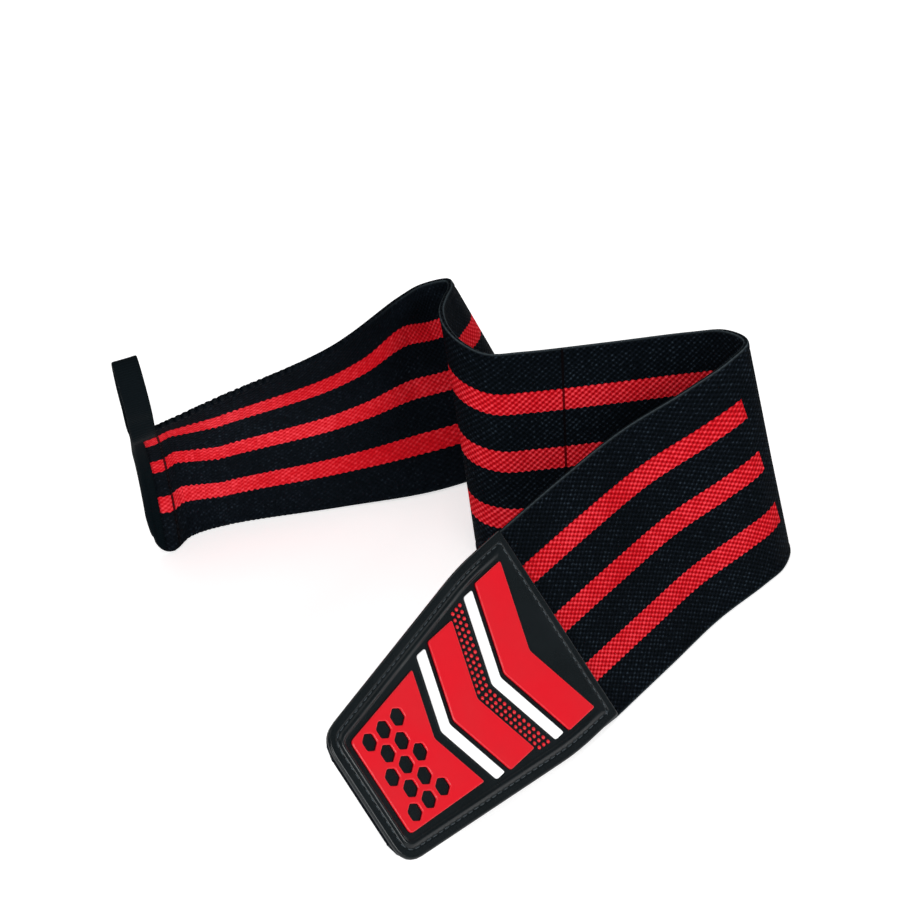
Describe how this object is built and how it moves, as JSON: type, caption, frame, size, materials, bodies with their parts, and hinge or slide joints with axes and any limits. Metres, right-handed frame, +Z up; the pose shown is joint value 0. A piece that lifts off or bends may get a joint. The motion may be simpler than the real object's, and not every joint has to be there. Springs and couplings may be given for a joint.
{
  "type": "wrist wrap",
  "caption": "Elastic wrist wrap standing on edge in a loose zigzag, black with red woven stripes, with a thumb loop and a moulded rubber patch.",
  "frame": {"origin": "on the floor, under the middle of the standing wrap's box", "axes": "+Z up, +X along the zigzag's middle run towards its right fold, +Y away from the patch's tip"},
  "size_m": [0.2376, 0.2674, 0.105],
  "materials": {
    "elastic": "black rib-woven elastic with three woven-in red stripes, matt",
    "tape": "black flat woven tape, matt",
    "rubber": "black soft moulded rubber, satin",
    "red_rubber": "red soft moulded rubber, satin",
    "white_rubber": "white soft moulded rubber, satin",
    "hook": "black hook fastener, matt"
  },
  "bodies": {
    "root": {"elastic_strap": "elastic", "end_binding": "tape", "thumb_loop": "tape", "patch_base": "rubber", "patch_bar_red_inner": "red_rubber", "patch_bar_white_inner": "white_rubber", "patch_bar_red_outer": "red_rubber", "patch_bar_white_outer": "white_rubber", "patch_tip_panel": "red_rubber", "hook_pad": "hook"}
  },
  "joints": []
}
